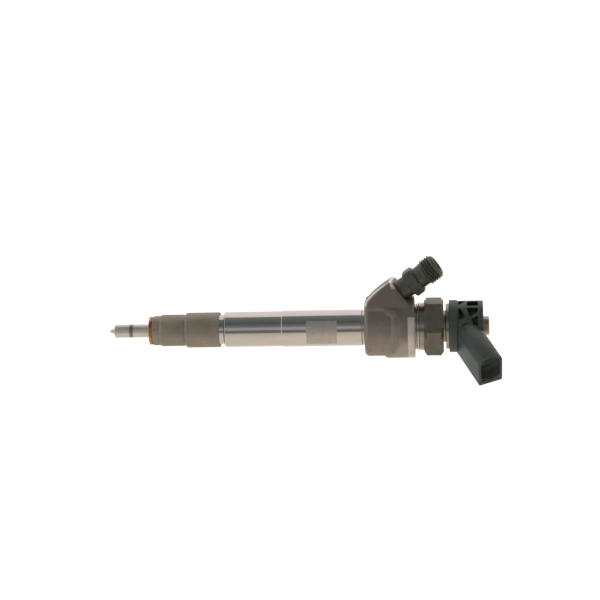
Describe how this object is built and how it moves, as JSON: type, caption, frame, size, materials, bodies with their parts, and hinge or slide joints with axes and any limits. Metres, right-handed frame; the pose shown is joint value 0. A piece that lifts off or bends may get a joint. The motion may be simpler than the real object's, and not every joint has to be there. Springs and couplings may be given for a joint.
{
  "type": "fuel injector",
  "caption": "Slim solenoid fuel injector with a spray nozzle, stepped retaining nut, ground shaft, forged head with an inclined threaded fuel inlet, hexagonal union nut and slanted socket.",
  "frame": {"origin": "centre of the lower face of the copper sealing washer, where the injector seats in the cylinder head", "axes": "+Z along the injector axis from the spray tip to the connector end; +X the way the electrical socket leans; the fuel inlet leans 116 degrees clockwise from +X seen from above"},
  "size_m": [0.0625, 0.0519, 0.209],
  "materials": {
    "ground_steel": "ground and polished steel shaft, satin forged head",
    "dark_steel": "brown-grey turned steel",
    "olive_steel": "dark phosphated steel",
    "hard_steel": "hardened and lapped steel",
    "spring_steel": "drawn spring wire",
    "brown_steel": "brownish passivated steel",
    "soft_iron": "sintered soft iron",
    "copper": "bare copper",
    "nitrile": "moulded seal rubber",
    "cap_plastic": "green-grey glass-filled moulding",
    "bobbin_plastic": "natural moulding",
    "tinned_contact": "tinned contact strip"
  },
  "bodies": {
    "injector": {"sealing_washer": "copper", "nozzle_body": "dark_steel", "nozzle_spring": "spring_steel", "nozzle_spring_shim": "hard_steel", "locating_pin_1": "hard_steel", "locating_pin_2": "hard_steel", "nozzle_retaining_nut": "dark_steel", "injector_body": "ground_steel", "fuel_inlet_connector": "olive_steel", "edge_filter": "hard_steel", "valve_seal_ring": "copper", "valve_piece": "hard_steel", "valve_clamp_screw": "dark_steel", "armature_guide": "hard_steel", "overtravel_spring": "spring_steel", "lift_shim": "hard_steel", "magnet_core": "soft_iron", "coil_bobbin": "bobbin_plastic", "coil_winding": "copper", "solenoid_spring": "spring_steel", "solenoid_spring_shim": "hard_steel", "magnet_housing": "brown_steel", "solenoid_oring": "nitrile", "cap_oring": "nitrile", "solenoid_nut": "olive_steel", "sleeve_ring": "brown_steel", "connector_cap": "cap_plastic", "contact_pin_1": "tinned_contact", "contact_pin_2": "tinned_contact", "return_stub": "brown_steel", "return_oring": "nitrile"},
    "needle": {"nozzle_needle": "hard_steel", "nozzle_spring_seat": "hard_steel", "control_piston": "hard_steel"},
    "armature": {"valve_ball": "hard_steel", "ball_holder": "hard_steel", "armature_bolt": "hard_steel"},
    "armature_disc": {"armature_plate": "soft_iron"}
  },
  "joints": [
    {"name": "needle_lift", "type": "slide", "parent": "injector", "child": "needle", "axis": [0, 0, 1], "range_m": [0, 0.00025], "stiffness_N_per_m": 600, "springref_m": -0.0008, "deforming": ["nozzle_spring"]},
    {"name": "armature_lift", "type": "slide", "parent": "injector", "child": "armature", "axis": [0, 0, 1], "range_m": [0, 0.00005], "stiffness_N_per_m": 300, "springref_m": -0.0006, "deforming": ["solenoid_spring"]},
    {"name": "plate_overtravel", "type": "slide", "parent": "armature", "child": "armature_disc", "axis": [0, 0, -1], "range_m": [0, 0.00006], "stiffness_N_per_m": 200, "springref_m": -0.0006, "deforming": ["overtravel_spring"]}
  ]
}
